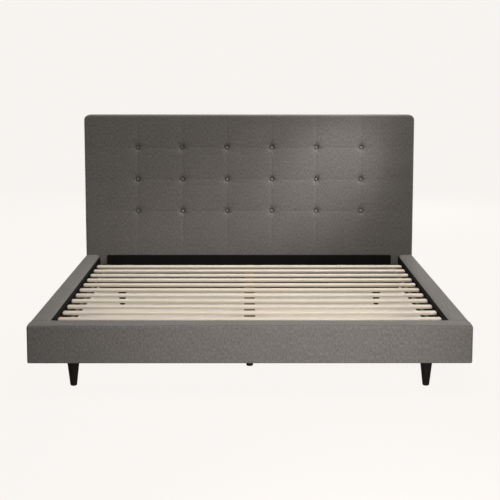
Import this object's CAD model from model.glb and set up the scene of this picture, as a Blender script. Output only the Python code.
"""Looks for the upholstered king-size bed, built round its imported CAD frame.

Metres, +Z up, foot end towards -Y. Fabric pieces, buttons and slats are fine meshes that
stand for their CAD nodes; boards, steel and legs keep their CAD shape and get materials.
"""
import math

import bpy
import numpy as np
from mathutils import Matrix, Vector, noise

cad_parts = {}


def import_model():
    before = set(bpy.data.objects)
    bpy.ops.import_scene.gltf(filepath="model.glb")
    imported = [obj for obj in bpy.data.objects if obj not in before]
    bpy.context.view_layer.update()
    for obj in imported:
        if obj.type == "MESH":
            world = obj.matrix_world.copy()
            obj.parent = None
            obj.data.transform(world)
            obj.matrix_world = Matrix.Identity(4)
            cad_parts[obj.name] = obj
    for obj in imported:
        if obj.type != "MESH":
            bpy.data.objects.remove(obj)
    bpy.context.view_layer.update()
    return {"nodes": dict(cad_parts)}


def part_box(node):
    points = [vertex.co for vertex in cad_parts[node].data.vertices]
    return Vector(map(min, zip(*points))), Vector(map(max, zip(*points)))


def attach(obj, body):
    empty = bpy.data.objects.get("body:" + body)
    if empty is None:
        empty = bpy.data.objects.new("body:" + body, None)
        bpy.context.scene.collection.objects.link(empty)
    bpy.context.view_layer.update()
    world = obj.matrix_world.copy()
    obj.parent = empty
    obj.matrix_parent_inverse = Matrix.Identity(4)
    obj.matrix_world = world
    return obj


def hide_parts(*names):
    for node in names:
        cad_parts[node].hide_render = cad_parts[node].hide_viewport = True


BODY = "bed_frame"

# Camera, at the photograph's angle
CAMERA_PLACE = (-0.010, -6.8155, 1.548)
CAMERA_PITCH = 0.1279
CAMERA_YAW = -0.0019
CAMERA_LENS = 87.33
CAMERA_SENSOR = 36.0
CAMERA_SHIFT = -0.06
CAMERA_REACH = 60.0

# Studio floor
FLOOR_COLOUR = (0.9473, 0.9131, 0.8880)
FLOOR_GLOW = 1.012
FLOOR_ALBEDO = 0.80
FLOOR_SHADE = 0.03              # share of the floor's colour that takes shadows
FLOOR_CLOUD = (1.3, 0.004)      # scale and amount of that share's unevenness
UNDER_BED_SHADE = 0.80          # the same share under the bed
UNDER_BED_X = (1.03, 1.13)      # where that share fades out
UNDER_BED_Y = ((-0.55, 0.05), (2.00, 1.75))
UNDER_BED_COLOUR = (0.76, 0.67, 0.56)
BEHIND_BED_SHADE = 0.90
BEHIND_BED_Y = (1.05, 1.35)
BEHIND_BED_COLOUR = (0.30, 0.265, 0.23)
FLOOR_RADIUS = 16.0
FLOOR_CURVE = 4.0               # radius of the curve from floor to wall
FLOOR_CURVE_STEPS = 12
FLOOR_SEGMENTS = 96
WALL_HEIGHT = 14.0

# Studio light
WORLD_COLOUR = (1.0, 0.985, 0.965)
WORLD_STRENGTH = 0.10
LAMP_COLOUR = (1.0, 0.97, 0.94)
LAMPS = (                       # name, place, target, size, power and, for a spot, its cone
    ("headboard_near", (1.45, -0.20, 1.85), (0.52, 1.04, 0.80), 0.22, 94.0, 0.46),
    ("headboard_far", (3.0, -0.4, 3.0), (0.16, 1.04, 0.78), 0.30, 350.0, 0.25),
    ("side_far", (3.0, -0.4, 3.0), (0.45, 0.90, 0.50), 0.35, 62.0, 0.80),
    ("foot_near", (0.55, -3.30, 0.80), (0.25, -1.14, 0.20), 0.90, 47.0),
    ("foot_far", (1.6, -4.2, 1.3), (0.22, -1.14, 0.22), 0.50, 238.0, 0.62),
    ("overhead_right", (0.90, 0.60, 3.60), (0.10, 0.20, 0.30), 2.0, 73.0),
    ("overhead_left", (-0.60, 0.60, 3.80), (0.0, 0.20, 0.30), 2.0, 43.0),
    ("left_fill", (-6.0, 2.4, 1.2), (-1.0, 0.0, 0.30), 2.0, 150.0),
    ("right_fill", (6.0, 2.4, 1.2), (1.0, 0.0, 0.30), 2.0, 150.0),
    ("back_fill", (0.8, 7.0, 2.2), (0.0, 1.14, 0.60), 2.4, 330.0),
)

# Colours, darker or base colour first
FABRIC = ((0.104, 0.0980, 0.0925), (0.188, 0.1775, 0.1675))
BUTTON_FABRIC = ((0.150, 0.142, 0.134), (0.270, 0.256, 0.242))
LINING = ((0.0034, 0.0031, 0.0028), (0.0085, 0.0078, 0.0070))
BACK_CLOTH = ((0.0140, 0.0130, 0.0125), (0.040, 0.0375, 0.0355))
LINED_BOARD = ((0.0040, 0.0036, 0.0032), (0.0100, 0.0092, 0.0082))
WEBBING = ((0.105, 0.085, 0.050), (0.190, 0.160, 0.105))
BIRCH = ((0.80, 0.733, 0.628), (0.63, 0.535, 0.415))
PINE = ((0.66, 0.50, 0.32), (0.43, 0.27, 0.14))
BROWN_TIMBER = ((0.125, 0.082, 0.045), (0.060, 0.036, 0.018))
LACQUER = ((0.0075, 0.0060, 0.0052), (0.0130, 0.0098, 0.0078))
RUBBED_LACQUER = (0.060, 0.040, 0.026)
POWDER_COAT = (0.018, 0.018, 0.020)
FOOT_PLASTIC = (0.014, 0.014, 0.014)

# Sizes in the finishes
FABRIC_PITCH = 0.0016
FABRIC_RELIEF = 0.00035
BUTTON_FABRIC_PITCH = 0.0013
BUTTON_FABRIC_RELIEF = 0.0002
FABRIC_MOTTLE = 0.32
YARN_STRETCH = 60.0             # scale of the yarn's slubs along its run
WEBBING_RIB = 0.0016
WEBBING_LEAN = 0.0025
BOARD_SHIFT = 3.17              # from one board's grain to the next one's
RUBBED_HEIGHT = 0.016           # of the legs, above the floor
SCUFFED_HEIGHT = 0.006          # of the levelling feet

# Upholstery of the headboard
HEADBOARD_RADII = {"side": 0.015, "top": 0.010, "bottom": 0.010}
HEADBOARD_CORNERS = {"top": 0.035, "bottom": 0.012}
HEADBOARD_PAD = 0.046
HEADBOARD_WALL = 0.014
HEADBOARD_BACK_ROUND = 0.004
HEADBOARD_SWAY = 0.0006
HEADBOARD_RIPPLES = ((0.0006, 0.11), (0.00025, 0.035))   # height and size of each
CROWN = 0.0030
CROWN_POWER = 0.8
CROWN_FADE = (0.33, 0.42)       # heights over which the face goes from flat to crowned
TUFT_PITS = ((0.0095, 0.0038), (0.0110, 0.0150))         # depth and fall, steep and wide
TUFT_SEAT = 0.0012              # flat cloth round each button
PLEAT_DEPTH = 0.10
PLEAT_COUNT = 7
PLEAT_TURN = 40                 # turns the pleats from one button to the next
PLEAT_REACH = 0.02
CREASE_DEPTH = 0.0013
CREASE_FALL = 0.0050
CREASE_WOBBLE = (0.0022, 0.05)
CREASE_FAINT = 0.25             # share of an upright crease left beyond the buttons
LEVEL_CREASE = 0.75             # depth of a level crease against an upright one
FADE_ABOVE = (0.04, 0.20)       # distances from the outer buttons where creases fade
FADE_BELOW = (0.06, 0.24)
FADE_BESIDE = (0.02, 0.14)

# Covered buttons
BUTTON_RADIUS = 0.009
BUTTON_RISE = 0.0045            # how far the covered dome stands above its CAD disc
BUTTON_GAP = 0.0002
BUTTON_BACK = ((0.0, 0.0), (0.82, 0.0), (0.93, 0.12), (1.0, 0.6))   # shares of radius and edge
BUTTON_EDGE = 0.42              # share of the thickness
BUTTON_ROUND = 0.85
BUTTON_STEPS = 9
BUTTON_SEGMENTS = 32
GATHER_DEPTH = 0.00025
GATHER_COUNT = 9
GATHER_POWER = 6

# Upholstery of the rails
PADDING = 0.010
RAIL_RADII = {"side": 0.012, "top": 0.014, "bottom": 0.006}
RAIL_CORNERS = {"top": 0.011, "bottom": 0.008}
RAIL_BACK_ROUND = 0.003
RAIL_CROWN = 0.0015
RAIL_CROWN_POWER = 0.7
RAIL_CROWN_END = 0.06           # length over which the crown fades at the ends
RAIL_RIPPLES = ((0.0005, 0.16), (0.0002, 0.045))
RAIL_SWAY = 0.0004
END_BULGE = 0.0028              # at the ends of the foot rail
SEAM_DROP = 0.0065              # seam below the top edge of the foot and head rails
SEAM_DEPTH = 0.0020
SEAM_WIDTH = 0.0026
JOIN_LENGTH = 0.060             # upright join of the two widths of cloth, at the middle
JOIN_SHARE = 0.5                # its depth against the seam's

# Covers of the side rails
SIDE_CROWN = 0.0040
SIDE_CROWN_POWER = 0.6
SIDE_WAVE = (0.0006, 0.13)
LIP_THICKNESS = 0.003
LIP_DROP = 0.030
LINING_DROP = 0.0035            # below the top, where black lining takes over from fabric
LINED_REACH = 0.004             # of the inner face, over which the lining shows
START_RISE = 0.001
OUTER_ROUND = 0.010
INNER_ROUND = 0.018
UNDER_ROUND = 0.007
SECTION_STEPS = {"bottom": 0.012, "side": 0.009, "top": 0.008, "lip": 0.006}
STATION_STEP = 0.014
END_ROUND = 0.007
END_CORNER = 0.026              # inner corner at the head, seen from above
END_CORNER_STEPS = 14
END_SQUASH = 0.55               # that corner is longer than it is wide
END_CORNER_FADE = (0.012, 0.050)
END_CORNER_RISE = 0.8           # share of the height above which the corner is cut
END_ROUND_SHARE = 0.9           # shares of width and height above which the end is rounded
TAPER_HEAD = 0.05               # lengths over which the crown fades at the ends
TAPER_FOOT = 0.03
TAPER_LEAST = 0.1

# Meshes of the padded caps
EDGE_STEPS = 10
WALL_STEP = 0.012
WALL_SWAY_SIZE = 0.07
WALL_RIPPLE = 0.0004
RIM_STEPS = 4

# Slats and straps
SLAT_CORNER = 0.012
SLAT_CORNER_STEPS = 5
SLAT_EDGE = 0.0022
SLAT_EDGE_STEPS = 3
STRAP_X = 0.910
STRAP_WIDTH = 0.020
STRAP_THICKNESS = 0.0009
STRAP_GAP = 0.0003              # under the slats
STRAP_INSET = 0.006             # from the outer edge of the end slats
STRAP_STEP = 0.008
STRAP_POINTS = 4                # across one face
STRAP_SAG = 0.0030
STRAP_CURL = 0.0004

# Seeds of the smooth noise
SEEDS = {"headboard": 1, "wobble_x": 3, "wobble_z": 4, "headboard_wall": 5,
         "foot": 10, "head": 14, "left": 20, "right": 30}

# Angles beyond which an edge is shaded sharp
SLAT_SHARP = 50
SIDE_RAIL_SHARP = 55


# ---------------------------------------------------------------- node graphs


class Graph:
    """A material's node tree, with short calls for the nodes it uses."""

    def __init__(self, name):
        self.material = bpy.data.materials.new(name)
        self.material.use_nodes = True
        self.tree = self.material.node_tree
        self.shader = self.tree.nodes["Principled BSDF"]

    def node(self, kind, inputs=(), **settings):
        made = self.tree.nodes.new(kind)
        for key, value in settings.items():
            setattr(made, key, value)
        for key, value in dict(inputs).items():
            self.plug(value, made.inputs[key])
        return made

    def plug(self, value, socket):
        if isinstance(value, bpy.types.NodeSocket):
            self.tree.links.new(value, socket)
        else:
            socket.default_value = value

    def place(self):
        return self.node("ShaderNodeTexCoord").outputs["Object"]

    def facing(self):
        """How much the surface faces along each object axis, without the sign."""
        normal = self.node("ShaderNodeTexCoord").outputs["Normal"]
        return [self.math("ABSOLUTE", n) for n in self.split(normal)]

    def math(self, operation, *values, clamp=False):
        made = self.node("ShaderNodeMath", operation=operation, use_clamp=clamp)
        for index, value in enumerate(values):
            self.plug(value, made.inputs[index])
        return made.outputs[0]

    def plus(self, a, b, clamp=False):
        return self.math("ADD", a, b, clamp=clamp)

    def times(self, a, b):
        return self.math("MULTIPLY", a, b)

    def ribs(self, value, pitch):
        """Rounded ridges from 0 to 1, one to each pitch."""
        return self.math("ABSOLUTE", self.math("SINE", self.times(value, math.pi / pitch)))

    def mix(self, share, a, b):
        """Number a where share is 0, number b where it is 1."""
        made = self.node("ShaderNodeMix", data_type="FLOAT")
        for index, value in ((0, share), (2, a), (3, b)):
            self.plug(value, made.inputs[index])
        return made.outputs[0]

    def blend(self, share, a, b):
        """Colour a where share is 0, colour b where it is 1."""
        made = self.node("ShaderNodeMix", data_type="RGBA")
        for index, value in ((0, share), (6, a), (7, b)):
            if isinstance(value, tuple):
                value = (*value, 1.0)
            self.plug(value, made.inputs[index])
        return made.outputs[2]

    def combine(self, x, y, z=0.0):
        return self.node("ShaderNodeCombineXYZ", {0: x, 1: y, 2: z}).outputs[0]

    def split(self, vector):
        return self.node("ShaderNodeSeparateXYZ", {0: vector}).outputs

    def noise(self, vector, scale, detail=2.0, roughness=0.5):
        settings = {"Vector": vector, "Scale": scale, "Detail": detail, "Roughness": roughness}
        return self.node("ShaderNodeTexNoise", settings).outputs["Fac"]

    def streaks(self, first, second, shift=0.0, detail=2.0, roughness=0.5):
        """Noise drawn out along one of two axes, each given with its own scale."""
        vector = self.combine(self.times(*first), self.times(*second), shift)
        return self.noise(vector, 1.0, detail, roughness)

    def ramp(self, value, low, high, start=0.0, end=1.0):
        """value mapped from low..high to start..end, clamped."""
        keys = {"Value": value, "From Min": low, "From Max": high, "To Min": start, "To Max": end}
        return self.node("ShaderNodeMapRange", keys).outputs["Result"]

    def bump(self, height, strength, distance, below=None):
        keys = {"Height": height, "Strength": strength, "Distance": distance}
        if below is not None:
            keys["Normal"] = below
        return self.node("ShaderNodeBump", keys).outputs["Normal"]

    def finish(self, colour, roughness, normal, **constants):
        self.plug(colour, self.shader.inputs["Base Color"])
        self.plug(roughness, self.shader.inputs["Roughness"])
        self.plug(normal, self.shader.inputs["Normal"])
        for key, value in constants.items():
            self.shader.inputs[key.replace("_", " ")].default_value = value
        return self.material


def surface_coordinates(graph):
    """The two object axes that lie along the surface."""
    place = graph.split(graph.place())
    x, y, z = graph.facing()
    facing_x = graph.math("GREATER_THAN", x, graph.math("MAXIMUM", y, z))
    facing_z = graph.math("GREATER_THAN", z, graph.math("MAXIMUM", x, y))
    return graph.mix(facing_x, place[0], place[1]), graph.mix(facing_z, place[2], place[1])


def woven_fabric(name, dark, light, pitch, relief):
    """Plain-weave upholstery cloth of slubbed, heathered yarn."""
    g = Graph(name)
    across, along = surface_coordinates(g)
    warp, weft = g.ribs(across, pitch), g.ribs(along, pitch)
    cells = g.combine(g.math("DIVIDE", across, pitch), g.math("DIVIDE", along, pitch), 0.5)
    over = g.node("ShaderNodeTexChecker", {"Vector": cells, "Scale": 1.0}).outputs["Fac"]
    weft_height = g.times(weft, g.ramp(warp, 0, 1, 0.55, 1))
    warp_height = g.times(warp, g.ramp(weft, 0, 1, 0.55, 1))
    height = g.mix(over, weft_height, warp_height)

    warp_yarn = g.streaks((across, 1 / pitch), (along, YARN_STRETCH))
    weft_yarn = g.streaks((across, YARN_STRETCH), (along, 1 / pitch), shift=9.0)
    yarn = g.mix(over, weft_yarn, warp_yarn)
    plane = g.combine(across, along)
    grain = g.noise(plane, 190.0, 2.0, 0.6)
    streak = g.streaks((across, 170.0), (along, 55.0), detail=1.0)
    cloud = g.noise(plane, 7.0, 3.0, 0.55)

    mottle = g.ramp(grain, 0.3, 0.7, -FABRIC_MOTTLE, FABRIC_MOTTLE)
    tone = g.plus(g.ramp(yarn, 0.3, 0.7, 0.2, 0.8), mottle)
    tone = g.plus(tone, g.ramp(streak, 0.3, 0.7, -FABRIC_MOTTLE, FABRIC_MOTTLE))
    tone = g.plus(tone, g.ramp(cloud, 0.3, 0.7, -0.05, 0.05))
    tone = g.plus(tone, g.ramp(height, 0.2, 1.0, -0.10, 0.05), clamp=True)
    normal = g.bump(g.plus(height, g.times(yarn, 0.7)), 0.8, relief)
    normal = g.bump(grain, 0.25, 0.0012, below=normal)
    return g.finish(
        g.blend(tone, dark, light), g.ramp(height, 0.0, 1.0, 0.98, 0.86), normal,
        Sheen_Weight=0.10, Sheen_Roughness=0.45, Specular_IOR_Level=0.20,
    )


def felted_cloth(name, base, fibre):
    """Thin non-woven lining cloth: short random fibres and pressed dots."""
    g = Graph(name)
    across, along = surface_coordinates(g)
    plane = g.combine(across, along)
    fibres = g.streaks((across, 900.0), (along, 260.0), detail=3.0, roughness=0.7)
    cross = g.streaks((across, 240.0), (along, 860.0), 4.0, detail=3.0, roughness=0.7)
    dots = g.node("ShaderNodeTexVoronoi", {"Vector": plane, "Scale": 420.0}).outputs["Distance"]
    cloud = g.noise(plane, 9.0, 3.0)
    height = g.plus(g.math("MAXIMUM", fibres, cross), g.times(dots, 0.4))
    pale = g.ramp(cloud, 0.3, 0.7, 0.0, 0.3)
    tone = g.plus(g.ramp(height, 0.5, 1.0, 0.0, 0.7), pale, clamp=True)
    roughness = g.ramp(height, 0.4, 1.1, 0.95, 0.80)
    normal = g.bump(height, 0.5, 0.0004)
    return g.finish(g.blend(tone, base, fibre), roughness, normal, Specular_IOR_Level=0.12)


def webbing(name, dark, light):
    """Narrow tape with a herringbone rib across it."""
    g = Graph(name)
    across, along = surface_coordinates(g)
    rib = g.ribs(g.plus(along, g.math("PINGPONG", across, WEBBING_LEAN)), WEBBING_RIB)
    worn = g.noise(g.combine(across, along), 120.0, 3.0)
    tone = g.plus(g.times(rib, 0.7), g.ramp(worn, 0.3, 0.7, 0.0, 0.3), clamp=True)
    roughness = g.ramp(worn, 0.3, 0.7, 0.75, 0.9)
    normal = g.bump(rib, 0.6, 0.0003)
    return g.finish(g.blend(tone, dark, light), roughness, normal, Specular_IOR_Level=0.2)


def board_numbers(g, side, row):
    """For a row of boards (pitch, first place): each one's noise shift and random tone."""
    pitch, start = row
    board = g.math("ROUND", g.math("DIVIDE", g.math("SUBTRACT", side, start), pitch))
    dice = g.node("ShaderNodeTexWhiteNoise", {"Vector": g.combine(board, 2.0, 5.0)})
    return g.times(board, BOARD_SHIFT), dice.outputs["Value"]


def planed_wood(name, pale, deep, axis, row=None, stripe=26.0, gloss=0.52):
    """Wood with grain along one axis. In a row of boards, each gets its own grain."""
    g = Graph(name)
    place = g.split(g.place())
    run, side, up = [place[i] for i in (axis, *(i for i in range(3) if i != axis))]
    shift, own_tone = board_numbers(g, side, row) if row else (0.0, 0.5)
    wander = g.streaks((run, 1.6), (side, 6.0), shift)
    bent = g.plus(side, g.times(wander, 0.05))
    rings = g.streaks((run, 0.7), (bent, stripe * 2), shift, 3.0, 0.6)
    pores = g.streaks((run, 14.0), (bent, 900.0), shift, 2.0, 0.6)
    plies = g.streaks((run, 3.0), (up, 700.0), shift, 1.0)
    edge = g.ramp(g.facing()[2], 0.35, 0.85, 1.0, 0.0)
    flat = g.plus(g.ramp(rings, 0.3, 0.7, 0.0, 0.55), g.ramp(pores, 0.35, 0.75, -0.08, 0.22))
    flat = g.plus(flat, g.ramp(own_tone, 0.0, 1.0, -0.12, 0.12))
    cut = g.plus(g.ramp(plies, 0.35, 0.65, 0.35, 0.95), g.ramp(pores, 0.3, 0.7, -0.05, 0.10))
    tone = g.plus(g.mix(edge, flat, cut), 0.0, clamp=True)
    roughness = g.ramp(pores, 0.3, 0.7, gloss - 0.06, gloss + 0.12)
    normal = g.bump(g.plus(g.times(rings, 0.5), pores), 0.25, 0.0003)
    return g.finish(g.blend(tone, pale, deep), roughness, normal, Specular_IOR_Level=0.35)


def lacquered_wood(name, black, brown):
    """Turned leg in satin black lacquer over a faint grain, a little rubbed at its foot."""
    g = Graph(name)
    x, y, z = g.split(g.place())
    grain = g.noise(g.combine(g.times(x, 320.0), g.times(y, 320.0), g.times(z, 16.0)), 1.0, 3.0)
    haze = g.noise(g.combine(x, y, z), 45.0, 3.0)
    rub = g.times(g.ramp(z, 0.0, RUBBED_HEIGHT, 1.0, 0.0), g.ramp(haze, 0.45, 0.7))
    colour = g.blend(g.ramp(grain, 0.3, 0.75), black, brown)
    colour = g.blend(g.times(rub, 0.5), colour, RUBBED_LACQUER)
    roughness = g.plus(g.ramp(haze, 0.3, 0.7, 0.26, 0.36), g.times(rub, 0.2))
    return g.finish(
        colour, roughness, g.bump(grain, 0.12, 0.0003),
        Coat_Weight=0.10, Coat_Roughness=0.20, Specular_IOR_Level=0.28,
    )


def coated_steel(name, base):
    """Powder-coated steel with a fine pebbled skin."""
    g = Graph(name)
    place = g.place()
    pebble = g.noise(place, 900.0, 2.0)
    cloud = g.noise(place, 30.0, 3.0)
    colour = g.blend(g.ramp(cloud, 0.3, 0.7), base, tuple(c * 1.8 for c in base))
    roughness = g.ramp(cloud, 0.3, 0.7, 0.42, 0.56)
    return g.finish(colour, roughness, g.bump(pebble, 0.35, 0.0002), Metallic=0.35)


def moulded_plastic(name, base):
    """Textured plastic foot, scuffed where it meets the floor."""
    g = Graph(name)
    place = g.place()
    spark = g.noise(place, 1400.0, 2.0)
    worn = g.ramp(g.noise(place, 160.0, 3.0), 0.4, 0.7)
    scuff = g.times(g.ramp(g.split(place)[2], 0.0, SCUFFED_HEIGHT, 1.0, 0.0), worn)
    colour = g.blend(g.times(scuff, 0.8), base, tuple(c * 3.5 for c in base))
    return g.finish(colour, g.ramp(spark, 0.3, 0.7, 0.55, 0.75), g.bump(spark, 0.3, 0.00015))


def make_materials(slat_y):
    slat_row = (slat_y[0] - slat_y[1], slat_y[0])
    return {
        "grey_fabric": woven_fabric("grey_fabric_weave", *FABRIC, FABRIC_PITCH, FABRIC_RELIEF),
        "button_fabric": woven_fabric(
            "button_fabric_weave", *BUTTON_FABRIC, BUTTON_FABRIC_PITCH, BUTTON_FABRIC_RELIEF
        ),
        "black_cloth": felted_cloth("black_lining_cloth", *LINING),
        "back_cloth": felted_cloth("charcoal_back_cloth", *BACK_CLOTH),
        "lined_board": felted_cloth("black_lined_board", *LINED_BOARD),
        "slat_wood": planed_wood("slat_birch", *BIRCH, 0, slat_row),
        "beam_wood": planed_wood("beam_brown_timber", *BROWN_TIMBER, 1, gloss=0.6),
        "timber_x": planed_wood("pine_along_x", *PINE, 0, stripe=18.0, gloss=0.62),
        "timber_z": planed_wood("pine_along_z", *PINE, 2, stripe=18.0, gloss=0.62),
        "black_lacquer": lacquered_wood("black_satin_lacquer", *LACQUER),
        "black_steel": coated_steel("black_powder_coat", POWDER_COAT),
        "black_rubber": moulded_plastic("black_moulded_foot", FOOT_PLASTIC),
        "strap": webbing("strap_webbing", *WEBBING),
    }


# -------------------------------------------------------------------- meshes


def add_piece(name, points, faces, finish, second=None, second_faces=()):
    """A new piece on the bed's body. second is the finish of the faces listed."""
    mesh = bpy.data.meshes.new(name)
    mesh.from_pydata([tuple(p) for p in points], [], faces)
    mesh.materials.append(finish)
    if second is not None:
        mesh.materials.append(second)
        for index in second_faces:
            mesh.polygons[index].material_index = 1
    mesh.polygons.foreach_set("use_smooth", [True] * len(mesh.polygons))
    mesh.update()
    mesh.validate()
    obj = bpy.data.objects.new(name, mesh)
    bpy.context.scene.collection.objects.link(obj)
    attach(obj, BODY)
    return obj


def sharpen(obj, degrees):
    """Splits the shading at edges sharper than the angle."""
    limit = math.radians(degrees)
    mesh = obj.data
    normals = [p.normal.copy() for p in mesh.polygons]
    found = {}
    for index, polygon in enumerate(mesh.polygons):
        for key in polygon.edge_keys:
            found.setdefault(key, []).append(index)
    for edge in mesh.edges:
        sides = found.get(tuple(sorted(edge.vertices)), ())
        if len(sides) == 2:
            edge.use_edge_sharp = normals[sides[0]].angle(normals[sides[1]], 0.0) > limit


def fall(value, start, end):
    """One before start, zero after end, smooth between."""
    t = np.clip((np.asarray(value, float) - start) / (end - start), 0.0, 1.0)
    return 1.0 - t * t * (3.0 - 2.0 * t)


def soft_noise(x, y, size, seed):
    """Smooth noise from -1 to 1 over arrays of points, with features of that size."""
    flat_x, flat_y = np.broadcast_arrays(x, y)
    values = [
        noise.noise(Vector((a / size + seed * 7.3, b / size - seed * 3.1, seed * 1.7)))
        for a, b in zip(flat_x.ravel(), flat_y.ravel())
    ]
    return np.array(values).reshape(flat_x.shape)


def ripples(x, y, layers, seed):
    """Smooth noise in layers, each with its height and size."""
    return sum(h * soft_noise(x, y, size, seed + i) for i, (h, size) in enumerate(layers))


def rounding(distance, radius):
    """How far a face falls back at this distance from its edge."""
    inside = np.clip(radius - distance, 0.0, radius)
    return radius - np.sqrt(radius * radius - inside * inside)


def edge_steps(radius, steps=EDGE_STEPS):
    """Distances from an edge that follow a quarter circle evenly."""
    return [radius * (1.0 - math.sin(math.pi / 2 * (1 - i / steps))) for i in range(steps + 1)]


def graded(low, high, near, far, centres, fine=0.003, reach=0.020, coarse=0.010):
    """Lines from low to high: along the edges' rounding, close together round each centre."""
    start = [low + d for d in edge_steps(near)]
    end = [high - d for d in edge_steps(far)]
    lines = []
    place = start[-1]
    while True:
        gap = min(abs(place - c) for c in centres)
        step = fine if gap < reach else min(fine + (gap - reach) * 0.25, coarse)
        place += step
        if place >= end[-1] - 0.4 * step:
            break
        lines.append(place)
    return np.array(start + lines + end[::-1])


def round_corners(x, z, spec):
    """Moves points near the corners of an upright rectangle into quarter circles."""
    px, pz = x.copy(), z.copy()
    for end, sign, level in (("top", 1.0, spec["high"]), ("bottom", -1.0, spec["low"])):
        radius = spec["corners"][end]
        start = spec["half"] - radius
        u = (np.abs(x) - start) / radius
        v = (sign * (z - level) + radius) / radius
        inside = (u > 0) & (v > 0)
        new_u = u * np.sqrt(np.clip(1 - v * v / 2, 0, 1))
        new_v = v * np.sqrt(np.clip(1 - u * u / 2, 0, 1))
        px = np.where(inside, np.copysign(start + radius * new_u, x), px)
        pz = np.where(inside, level + sign * (radius * new_v - radius), pz)
    return px, pz


def grid_faces(rows, columns):
    index = np.arange(rows * columns).reshape(rows, columns)
    corners = (index[:-1, :-1], index[:-1, 1:], index[1:, 1:], index[1:, :-1])
    return np.stack([c.ravel() for c in corners], axis=1).tolist()


def ring_faces(first, second):
    count = len(first)
    return [
        (first[i], first[(i + 1) % count], second[(i + 1) % count], second[i])
        for i in range(count)
    ]


def turned_faces(segments, rings, last=None):
    """A fan at point 0, the rings after it and, if its number is given, a last point."""
    faces = []
    for i in range(segments):
        j = (i + 1) % segments
        faces.append((0, 1 + i, 1 + j))
        for ring in range(rings - 1):
            a = 1 + ring * segments
            faces.append((a + i, a + segments + i, a + segments + j, a + j))
        if last is not None:
            a = 1 + (rings - 1) * segments
            faces.append((a + i, last, a + j))
    return faces


# ---------------------------------------------------------------- padded caps


def cap_spec(node, radii, corners, pad, wall, back_round, end_bulge=0.0):
    """Measures of a padded cap that stands for a CAD node."""
    low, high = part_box(node)
    return {
        "half": high.x, "low": low.z, "high": high.z, "front": low.y, "back": high.y,
        "radii": radii, "corners": corners, "pad": pad, "wall": wall,
        "back_round": back_round, "end_bulge": end_bulge,
    }


def cap_front(spec, x_lines, z_lines, pull):
    """The drawn-in, rounded front: points, faces and the numbers of its edge's points."""
    x, z = np.meshgrid(x_lines, z_lines)
    radii = spec["radii"]
    side = rounding(spec["half"] - np.abs(x), radii["side"])
    above = rounding(spec["high"] - z, radii["top"])
    below = rounding(z - spec["low"], radii["bottom"])
    depth = np.minimum(np.hypot(side, np.maximum(above, below)), max(radii.values()))
    px, pz = round_corners(x, z, spec)
    py = spec["front"] + depth + pull(x, z)
    points = np.stack([px, py, pz], axis=2).reshape(-1, 3)
    index = np.arange(x.size).reshape(x.shape)
    edge = [*index[0, :-1], *index[:-1, -1], *index[-1, :0:-1], *index[:0:-1, 0]]
    return points, grid_faces(*x.shape), edge


def cap_rings(spec, edge, sway):
    """Rings of points from the front's edge over walls and back rim into the cavity."""
    outward = np.roll(edge, -1, 0) - np.roll(edge, 1, 0)
    outward = np.stack([outward[:, 2], -outward[:, 0]], axis=1)
    outward /= np.maximum(np.linalg.norm(outward, axis=1, keepdims=True), 1e-9)
    lengths = np.linalg.norm(np.diff(edge[:, (0, 2)], axis=0), axis=1)
    run = np.concatenate([[0], np.cumsum(lengths)])

    def ring(y, offset):
        x, z = edge[:, 0] + outward[:, 0] * offset, edge[:, 2] + outward[:, 1] * offset
        return np.stack([x, y, z], axis=1)

    rings = []
    back_round = spec["back_round"]
    turn = spec["back"] - back_round
    count = max(2, round((turn - edge[:, 1].max()) / WALL_STEP))
    for step in range(1, count + 1):
        share = step / count
        y = edge[:, 1] + (turn - edge[:, 1]) * share
        swell = sway(run, y) + spec["end_bulge"] * np.abs(outward[:, 0])
        rings.append(ring(y, swell * math.sin(math.pi * share)))
    for step in range(1, RIM_STEPS + 1):
        angle = math.pi / 2 * step / RIM_STEPS
        y = np.full(len(edge), turn + back_round * math.sin(angle))
        rings.append(ring(y, -back_round * (1 - math.cos(angle))))
    middle = (spec["low"] + spec["high"]) / 2
    half_height = (spec["high"] - spec["low"]) / 2
    inner_x = edge[:, 0] * (1 - spec["wall"] / spec["half"])
    inner_z = middle + (edge[:, 2] - middle) * (1 - spec["wall"] / half_height)
    for y in (spec["back"], spec["front"] + spec["pad"]):
        rings.append(np.stack([inner_x, np.full(len(edge), y), inner_z], axis=1))
    return rings


def padded_cap(name, node, spec, lines, pull, sway, finish):
    """A padded cover, open at the back, that stands for a CAD node.

    pull(x, z) is how far its front is drawn in, and sway(run, y) how far a wall bulges.
    """
    points, faces, last = cap_front(spec, *lines, pull)
    parts, total = [points], len(points)
    for ring in cap_rings(spec, points[last], sway):
        numbers = list(range(total, total + len(last)))
        parts.append(ring)
        faces.extend(ring_faces(last, numbers))
        last = numbers
        total += len(last)
    faces.append(tuple(last))
    faces = [tuple(int(i) for i in f) for f in faces]
    cover = add_piece(name, np.concatenate(parts), faces, finish["grey_fabric"])
    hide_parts(node)


def wall_sway(amount, seed):
    return lambda run, y: amount + WALL_RIPPLE * soft_noise(run, y, WALL_SWAY_SIZE, seed)


# ----------------------------------------------------------------- headboard


def tuft_places(nodes):
    """Column and row centres of the buttons, from their CAD nodes."""
    centres = []
    for name in nodes:
        if name.startswith("tuft_button_"):
            low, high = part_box(name)
            centres.append(((low.x + high.x) / 2, (low.z + high.z) / 2))
    columns = sorted({round(x, 4) for x, _ in centres})
    rows = sorted({round(z, 4) for _, z in centres})
    return np.array(columns), np.array(rows)


def nearest(values, centres):
    """Signed distance to the nearest centre."""
    gaps = values[..., None] - centres
    return np.take_along_axis(gaps, np.abs(gaps).argmin(-1)[..., None], -1)[..., 0]


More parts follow.
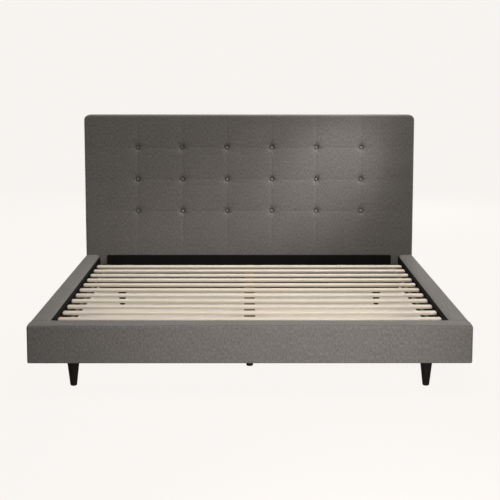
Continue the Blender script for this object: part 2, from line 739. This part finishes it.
def tuft_pits(x, across, up):
    """Depth of the pull round each button, with small pleats that run out from it."""
    radius = np.hypot(across, up)
    waves = np.sin(PLEAT_COUNT * np.arctan2(up, across) + PLEAT_TURN * x)
    reach = np.clip((radius - BUTTON_RADIUS) / PLEAT_REACH, 0, 1)
    pleats = 1.0 + PLEAT_DEPTH * waves * reach
    away = np.clip(radius - BUTTON_RADIUS - TUFT_SEAT, 0, None) * pleats
    return sum(depth * np.exp(-away / reach) for depth, reach in TUFT_PITS)


def tuft_creases(x, z, across, up, columns, rows):
    """Depth of the faint creases that join the buttons."""
    def crease(distance, seed, depth):
        height, size = CREASE_WOBBLE
        wobble = height * soft_noise(x, z, size, SEEDS[seed])
        return depth * np.exp(-np.abs(distance + wobble) / CREASE_FALL)

    beyond = fall(z, *(rows[-1] + d for d in FADE_ABOVE))
    beyond *= fall(-z, *(d - rows[0] for d in FADE_BELOW))
    beside = fall(np.abs(x), *(columns[-1] + d for d in FADE_BESIDE))
    upright = crease(across, "wobble_x", CREASE_DEPTH)
    upright *= CREASE_FAINT + (1 - CREASE_FAINT) * beyond
    level = crease(up, "wobble_z", CREASE_DEPTH * LEVEL_CREASE) * beside
    return np.maximum(upright, level)


def headboard_pull(x, z, columns, rows):
    """Buttons, the creases that join them, the pillows between, and small ripples."""
    across, up = nearest(x, columns), nearest(z, rows)
    drawn = np.maximum(tuft_pits(x, across, up), tuft_creases(x, z, across, up, columns, rows))
    dome_x = np.clip(np.abs(across) / ((columns[1] - columns[0]) / 2), 0, 1)
    dome_z = np.clip(np.abs(up) / ((rows[1] - rows[0]) / 2), 0, 1)
    crown = CROWN * (1 - (1 - dome_x) ** 2) ** CROWN_POWER
    crown *= 0.5 + 0.5 * (1 - (1 - dome_z) ** 2)
    swell = crown + ripples(x, z, HEADBOARD_RIPPLES, SEEDS["headboard"])
    return drawn - swell * (1.0 - fall(z, *CROWN_FADE))


def make_headboard(finish, nodes):
    node = "headboard_upholstery"
    columns, rows = tuft_places(nodes)
    corners = HEADBOARD_CORNERS
    spec = cap_spec(
        node, HEADBOARD_RADII, corners, HEADBOARD_PAD, HEADBOARD_WALL, HEADBOARD_BACK_ROUND
    )
    lines = (
        graded(-spec["half"], spec["half"], corners["top"], corners["top"], columns),
        graded(spec["low"], spec["high"], corners["bottom"], corners["top"], rows),
    )
    sway = wall_sway(HEADBOARD_SWAY, SEEDS["headboard_wall"])
    padded_cap(
        "headboard_padding", node, spec, lines,
        lambda x, z: headboard_pull(x, z, columns, rows), sway, finish,
    )


def button_profile(radius, thickness):
    """Radius and height of a cloth-covered button from its back to the middle of its dome."""
    edge = thickness * BUTTON_EDGE
    profile = [(radius * r, edge * h) for r, h in BUTTON_BACK]
    for step in range(1, BUTTON_STEPS):
        angle = math.pi / 2 * step / BUTTON_STEPS
        rim = radius * math.cos(angle) ** BUTTON_ROUND
        profile.append((rim, edge + (thickness - edge) * math.sin(angle)))
    return profile + [(0.0, thickness)]


def make_button(name, finish, seed):
    """A cloth-covered button: a low dome with small gathers round its rim."""
    low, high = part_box(name)
    radius, thickness = (high.x - low.x) / 2, high.y - low.y + BUTTON_RISE
    x, z = (low.x + high.x) / 2, (low.z + high.z) / 2
    profile = button_profile(radius - BUTTON_GAP, thickness)
    points = [(x, high.y, z)]
    for rim, rise in profile[1:-1]:
        for i in range(BUTTON_SEGMENTS):
            angle = 2 * math.pi * i / BUTTON_SEGMENTS
            gather = GATHER_DEPTH * math.sin(GATHER_COUNT * angle + seed)
            reach = rim - abs(gather * (rim / radius) ** GATHER_POWER)
            points.append((x + reach * math.cos(angle), high.y - rise, z + reach * math.sin(angle)))
    points.append((x, high.y - thickness, z))
    faces = turned_faces(BUTTON_SEGMENTS, len(profile) - 2, len(points) - 1)
    button_name = name.replace("tuft_button", "covered_button")
    button = add_piece(button_name, points, faces, finish["button_fabric"])
    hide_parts(name)


# ---------------------------------------------------------------------- rails


def rail_pull(half, low, high, seed):
    """A slightly crowned, slightly uneven rail front with a sewn seam along its top edge."""
    def pull(x, z):
        up = np.clip((z - low) / (high - low), 0, 1)
        end = np.clip((half - np.abs(x)) / RAIL_CROWN_END, 0, 1)
        crown = RAIL_CROWN * np.sin(np.pi * up) ** RAIL_CROWN_POWER * end
        uneven = ripples(x, z, RAIL_RIPPLES, seed)
        seam = SEAM_DEPTH * np.exp(-np.square((high - SEAM_DROP - z) / SEAM_WIDTH))
        join = JOIN_SHARE * SEAM_DEPTH * np.exp(-np.square(x / SEAM_WIDTH))
        join *= high - z < JOIN_LENGTH
        return np.maximum(seam, join) - (crown + uneven * np.sin(np.pi * up))
    return pull


def make_end_rail(end, finish, bulge):
    node = f"{end}_rail_cover"
    seed = SEEDS[end]
    spec = cap_spec(node, RAIL_RADII, RAIL_CORNERS, PADDING, PADDING, RAIL_BACK_ROUND, bulge)
    half, low, high = spec["half"], spec["low"], spec["high"]
    top, bottom = RAIL_CORNERS["top"], RAIL_CORNERS["bottom"]
    seam = (high - SEAM_DROP,)
    lines = (
        graded(-half, half, top, top, (0.0,), fine=0.001, reach=0.006, coarse=0.011),
        graded(low, high, bottom, top, seam, fine=0.0009, reach=0.005, coarse=0.009),
    )
    pull = rail_pull(half, low, high, seed)
    sway = wall_sway(RAIL_SWAY, seed + 2)
    padded_cap(f"{end}_rail_padding", node, spec, lines, pull, sway, finish)


def quarter(centre, radius, start, steps):
    """Points on a quarter circle that starts at the angle, in degrees."""
    angles = [math.radians(start + 90 * i / steps) for i in range(steps + 1)]
    return [(centre[0] + radius * math.cos(a), centre[1] + radius * math.sin(a)) for a in angles]


def spaced(a, b, step):
    """Points after a and before b, about step apart."""
    count = max(1, round(math.dist(a, b) / step))
    return [
        (a[0] + (b[0] - a[0]) * i / count, a[1] + (b[1] - a[1]) * i / count)
        for i in range(1, count)
    ]


def side_rail_section(outer, inner, low, high):
    """Outline of a side rail's cover, from its bottom inner edge round the outside."""
    steps = SECTION_STEPS
    start = (inner, low + START_RISE)
    lip = high - LIP_DROP
    under = quarter((outer - UNDER_ROUND, low + UNDER_ROUND), UNDER_ROUND, -90, 4)
    over = quarter((outer - OUTER_ROUND, high - OUTER_ROUND), OUTER_ROUND, 0, 8)
    roll = quarter((inner + INNER_ROUND, high - INNER_ROUND), INNER_ROUND, 90, 7)
    skin = [start] + spaced(start, under[0], steps["bottom"]) + under
    skin += spaced(under[-1], over[0], steps["side"]) + over
    skin += spaced(over[-1], roll[0], steps["top"]) + roll
    skin += spaced(roll[-1], (inner, lip), steps["lip"]) + [(inner, lip)]
    inside = [
        (inner + LIP_THICKNESS, lip), (inner + LIP_THICKNESS, high - PADDING),
        (outer - PADDING, high - PADDING), (outer - PADDING, low + PADDING),
        (inner, low + PADDING),
    ]
    return np.array(skin), np.array(inside)


def side_rail_stations(start, end):
    """Places along a side rail, close together at its rounded head end."""
    tail = [end - d for d in edge_steps(END_CORNER / END_SQUASH, END_CORNER_STEPS)][::-1]
    count = round((tail[0] - start) / STATION_STEP)
    return [start + (tail[0] - start) * i / count for i in range(count)] + tail


def side_rail_ring(skin, inside, y, ends, limits, sign, seed):
    """The cover's outline at one station, crowned, uneven and rounded at the head end."""
    outer, inner, low, high = limits
    ring = skin.copy()
    tail = ends[1] - y
    on_top = ring[:, 1] > high - 1e-6
    on_side = ring[:, 0] > outer - 1e-6
    width = np.clip((ring[:, 0] - inner) / (outer - inner), 0, 1)
    rise = np.clip((ring[:, 1] - low) / (high - low), 0, 1)
    taper = min(1.0, tail / TAPER_HEAD, (y - ends[0]) / TAPER_FOOT + TAPER_LEAST)
    height, size = SIDE_WAVE
    wave = height * soft_noise(np.full(len(ring), y), ring[:, 0] + ring[:, 1], size, seed)
    ring[:, 1] += np.where(on_top, (RAIL_CROWN * np.sin(np.pi * width) + wave) * taper, 0)
    side_crown = SIDE_CROWN * np.sin(np.pi * rise) ** SIDE_CROWN_POWER
    ring[:, 0] += np.where(on_side, (side_crown + wave) * taper, 0)
    drop = float(rounding(np.array(tail), END_ROUND))
    ring[:, 1] -= drop * (rise > END_ROUND_SHARE)
    ring[:, 0] -= drop * (width > END_ROUND_SHARE)
    cut = float(rounding(np.array(tail * END_SQUASH), END_CORNER))
    near_inner = fall(ring[:, 0], *(inner + d for d in END_CORNER_FADE))
    ring[:, 0] += cut * (near_inner * (rise > END_CORNER_RISE))
    inner_ring = inside.copy()
    inner_ring[:2, 0] += cut
    both = np.concatenate([ring, inner_ring])
    return np.stack([sign * both[:, 0], np.full(len(both), y), both[:, 1]], axis=1)


def lined(above, below, inner, high):
    """True between two points of the outline that the black lining covers."""
    return (
        above[0] < inner + LINED_REACH
        and below[1] < high - LINING_DROP
        and above[1] > high - LIP_DROP - 0.001
    )


def make_side_rail(side, sign, finish):
    node = f"side_rail_cover_{side}"
    low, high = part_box(node)
    outer, inner = max(abs(low.x), abs(high.x)), min(abs(low.x), abs(high.x))
    limits, ends = (outer, inner, low.z, high.z), (low.y, high.y)
    skin, inside = side_rail_section(*limits)
    rings = [
        side_rail_ring(skin, inside, y, ends, limits, sign, SEEDS[side])
        for y in side_rail_stations(*ends)
    ]
    count = len(skin) + len(inside)
    black_places = [
        i for i in range(len(skin) - 1) if lined(skin[i], skin[i + 1], inner, high.z)
    ]
    faces, black = [], []
    for row in range(len(rings) - 1):
        first = range(row * count, (row + 1) * count)
        black += [len(faces) + i for i in black_places]
        faces += ring_faces(first, [i + count for i in first])
    total = len(rings) * count
    faces += [tuple(range(count))[::-1], tuple(range(total - count, total))]
    if sign < 0:
        faces = [face[::-1] for face in faces]
    cover = add_piece(
        f"side_rail_padding_{side}", np.concatenate(rings), faces,
        finish["grey_fabric"], finish["black_cloth"], black,
    )
    sharpen(cover, SIDE_RAIL_SHARP)
    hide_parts(node)


# -------------------------------------------------------------- slats, straps


def rounded_plan(low, high, radius):
    """Rounded rectangle in X and Y, anticlockwise."""
    corners = (
        (high.x - radius, high.y - radius, 0), (low.x + radius, high.y - radius, 90),
        (low.x + radius, low.y + radius, 180), (high.x - radius, low.y + radius, 270),
    )
    return [
        point for x, y, start in corners
        for point in quarter((x, y), radius, start, SLAT_CORNER_STEPS)
    ]


def make_slat(name, finish):
    """A bent-ply slat with rounded corners and eased edges."""
    low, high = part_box(name)
    levels = []
    for step in range(SLAT_EDGE_STEPS + 1):
        angle = math.pi / 2 * step / SLAT_EDGE_STEPS
        inset, rise = 1 - math.sin(angle), 1 - math.cos(angle)
        levels.append((SLAT_EDGE * inset, low.z + SLAT_EDGE * rise))
    levels += [(inset, low.z + high.z - z) for inset, z in reversed(levels)]
    points, faces, rings = [], [], []
    for inset, z in levels:
        plan_low = Vector((low.x + inset, low.y + inset))
        plan_high = Vector((high.x - inset, high.y - inset))
        plan = rounded_plan(plan_low, plan_high, SLAT_CORNER - inset)
        rings.append(list(range(len(points), len(points) + len(plan))))
        points += [(x, y, z) for x, y in plan]
    for first, second in zip(rings, rings[1:]):
        faces += ring_faces(first, second)
    faces += [tuple(reversed(rings[0])), tuple(rings[-1])]
    slat = add_piece(ply_name(name), points, faces, finish["slat_wood"])
    sharpen(slat, SLAT_SHARP)
    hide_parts(name)


def ply_name(node):
    return node.replace("slat", "ply_slat")


def strap_section(sign, y, top):
    """Points round the strap at one place: its upper face, then its lower one."""
    points = []
    across = np.linspace(-0.5, 0.5, STRAP_POINTS)
    for shares, thickness in ((across, 0.0), (across[::-1], STRAP_THICKNESS)):
        for share in shares:
            curl = STRAP_CURL * abs(share) * 2
            x = sign * (STRAP_X + share * STRAP_WIDTH)
            points.append((x, y, top - thickness - curl))
    return points


def make_strap(side, sign, slat_names, finish):
    """Webbing fixed under the slats, with a small sag in each gap."""
    boxes = sorted((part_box(n) for n in slat_names), key=lambda b: b[0].y)
    start, end = boxes[0][0].y + STRAP_INSET, boxes[-1][1].y - STRAP_INSET
    centres = np.array([(b[0].y + b[1].y) / 2 for b in boxes])
    half_slat = (boxes[0][1].y - boxes[0][0].y) / 2
    half_gap = (centres[1] - centres[0]) / 2 - half_slat
    places = np.linspace(start, end, round((end - start) / STRAP_STEP))
    gap = np.clip(np.abs(nearest(places, centres)) - half_slat, 0, None) / half_gap
    tops = boxes[0][0].z - STRAP_GAP - STRAP_SAG * (1 - (1 - gap) ** 2)
    sections = [strap_section(sign, y, top) for y, top in zip(places, tops)]
    points = [point for section in sections for point in section]
    count = 2 * STRAP_POINTS
    rings = [range(i, i + count) for i in range(0, len(points), count)]
    faces = []
    for first, second in zip(rings, rings[1:]):
        faces += ring_faces(first, second)
    faces += [tuple(rings[0])[::-1], tuple(rings[-1])]
    if sign < 0:
        faces = [face[::-1] for face in faces]
    strap = add_piece(f"slat_strap_{side}", points, faces, finish["strap"])


# -------------------------------------------------------------- CAD finishes


CAD_FINISHES = {                # start of a node's name, and its finish
    "headboard_panel": "timber_x",
    "headboard_post": "timber_z",
    "headboard_top_rail": "timber_x",
    "headboard_bottom_rail": "timber_x",
    "headboard_back_cloth": "back_cloth",
    "head_cross_board": "black_cloth",
    "side_rail_core": "lined_board",
    "foot_rail_core": "lined_board",
    "head_rail_core": "lined_board",
    "slat_ledger": "lined_board",
    "centre_beam": "beam_wood",
    "beam_shoe": "black_steel",
    "leg_": "black_lacquer",
    "centre_leg": "black_steel",
    "levelling_foot": "black_rubber",
    "rail_bracket": "black_steel",
}


def finish_cad_nodes(nodes, finish):
    for name, obj in nodes.items():
        for start, key in CAD_FINISHES.items():
            if name.startswith(start):
                for slot in obj.material_slots:
                    slot.link = "OBJECT"
                    slot.material = finish[key]


# --------------------------------------------------------------------- studio


def make_floor():
    """A pale studio floor that curves up into a wall all round."""
    flat = FLOOR_RADIUS - FLOOR_CURVE
    profile = [(flat, 0.0)]
    for step in range(1, FLOOR_CURVE_STEPS + 1):
        angle = math.pi / 2 * step / FLOOR_CURVE_STEPS
        rise = FLOOR_CURVE * (1 - math.cos(angle))
        profile.append((flat + FLOOR_CURVE * math.sin(angle), rise))
    profile.append((FLOOR_RADIUS, WALL_HEIGHT))
    points = [(0.0, 0.0, 0.0)]
    for radius, height in profile:
        for i in range(FLOOR_SEGMENTS):
            angle = 2 * math.pi * i / FLOOR_SEGMENTS
            points.append((radius * math.cos(angle), radius * math.sin(angle), height))
    mesh = bpy.data.meshes.new("studio_floor")
    mesh.from_pydata(points, [], turned_faces(FLOOR_SEGMENTS, len(profile)))
    mesh.polygons.foreach_set("use_smooth", [True] * len(mesh.polygons))
    mesh.materials.append(floor_material())
    floor = bpy.data.objects.new("studio_floor", mesh)
    bpy.context.scene.collection.objects.link(floor)
    floor.visible_diffuse = False
    floor.visible_glossy = False


def floor_material():
    """Evenly lit pale floor: mostly its own even tone, with a share that takes soft shadows.

    The share is larger, and the colour browner, under the bed and behind its head.
    """
    g = Graph("studio_floor_paint")
    x, y, _ = g.split(g.place())
    under = g.ramp(g.math("ABSOLUTE", x), *UNDER_BED_X, 1.0, 0.0)
    for limits in UNDER_BED_Y:
        under = g.times(under, g.ramp(y, *limits))
    behind = g.times(under, g.ramp(y, *BEHIND_BED_Y))
    scale, amount = FLOOR_CLOUD
    cloud = g.ramp(g.noise(g.combine(x, y), scale, 2.0), 0.3, 0.7, -amount, amount)
    share = g.plus(g.ramp(under, 0.0, 1.0, FLOOR_SHADE, UNDER_BED_SHADE), cloud)
    share = g.math("MAXIMUM", share, g.times(behind, BEHIND_BED_SHADE))
    tone = g.blend(under, tuple(c * FLOOR_ALBEDO for c in FLOOR_COLOUR), UNDER_BED_COLOUR)
    tone = g.blend(behind, tone, BEHIND_BED_COLOUR)
    glow = {"Color": (*FLOOR_COLOUR, 1.0), "Strength": FLOOR_GLOW}
    glow = g.node("ShaderNodeEmission", glow).outputs[0]
    paint = g.node("ShaderNodeBsdfDiffuse", {"Color": tone}).outputs[0]
    mixed = g.node("ShaderNodeMixShader", {0: share, 1: glow, 2: paint})
    output = g.tree.nodes["Material Output"]
    g.tree.links.new(mixed.outputs[0], output.inputs["Surface"])
    g.tree.nodes.remove(g.shader)
    return g.material


def add_lamp(name, place, target, size, power, cone=None):
    """A soft disk lamp, or a spot with a soft edge if a cone is given."""
    lamp = bpy.data.lights.new(name, "SPOT" if cone else "AREA")
    if cone:
        lamp.spot_size = cone
        lamp.spot_blend = 1.0
        lamp.shadow_soft_size = size / 2
    else:
        lamp.shape = "DISK"
        lamp.size = size
    lamp.energy = power
    lamp.color = LAMP_COLOUR
    obj = bpy.data.objects.new(name, lamp)
    obj.location = place
    obj.rotation_euler = (Vector(target) - Vector(place)).to_track_quat("-Z", "Y").to_euler()
    obj.visible_camera = False
    bpy.context.scene.collection.objects.link(obj)


def light_scene():
    for lamp in LAMPS:
        add_lamp(*lamp)
    world = bpy.data.worlds.new("studio_air")
    world.use_nodes = True
    background = world.node_tree.nodes["Background"]
    background.inputs["Color"].default_value = (*WORLD_COLOUR, 1.0)
    background.inputs["Strength"].default_value = WORLD_STRENGTH
    bpy.context.scene.world = world
    bpy.context.scene.view_settings.view_transform = "Standard"


def make_camera():
    camera = bpy.data.cameras.new("photo_camera")
    camera.lens = CAMERA_LENS
    camera.sensor_width = CAMERA_SENSOR
    camera.shift_y = CAMERA_SHIFT
    camera.clip_end = CAMERA_REACH
    obj = bpy.data.objects.new("photo_camera", camera)
    obj.location = CAMERA_PLACE
    obj.rotation_euler = (math.pi / 2 - CAMERA_PITCH, 0.0, CAMERA_YAW)
    bpy.context.scene.collection.objects.link(obj)
    bpy.context.scene.camera = obj


def main():
    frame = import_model()
    nodes = frame["nodes"]
    slat_names = sorted(n for n in nodes if n.startswith("slat_") and n[-2:].isdigit())
    slat_y = [(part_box(n)[0].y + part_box(n)[1].y) / 2 for n in slat_names]
    finish = make_materials(slat_y)
    finish_cad_nodes(nodes, finish)
    make_headboard(finish, nodes)
    make_end_rail("foot", finish, END_BULGE)
    make_end_rail("head", finish, 0.0)
    for side, sign in (("left", -1), ("right", 1)):
        make_side_rail(side, sign, finish)
    buttons = sorted(n for n in nodes if n.startswith("tuft_button_"))
    for seed, name in enumerate(buttons):
        make_button(name, finish, seed)
    for name in slat_names:
        make_slat(name, finish)
    for side, sign in (("left", -1), ("right", 1)):
        make_strap(side, sign, slat_names, finish)
    make_floor()
    light_scene()
    make_camera()


main()
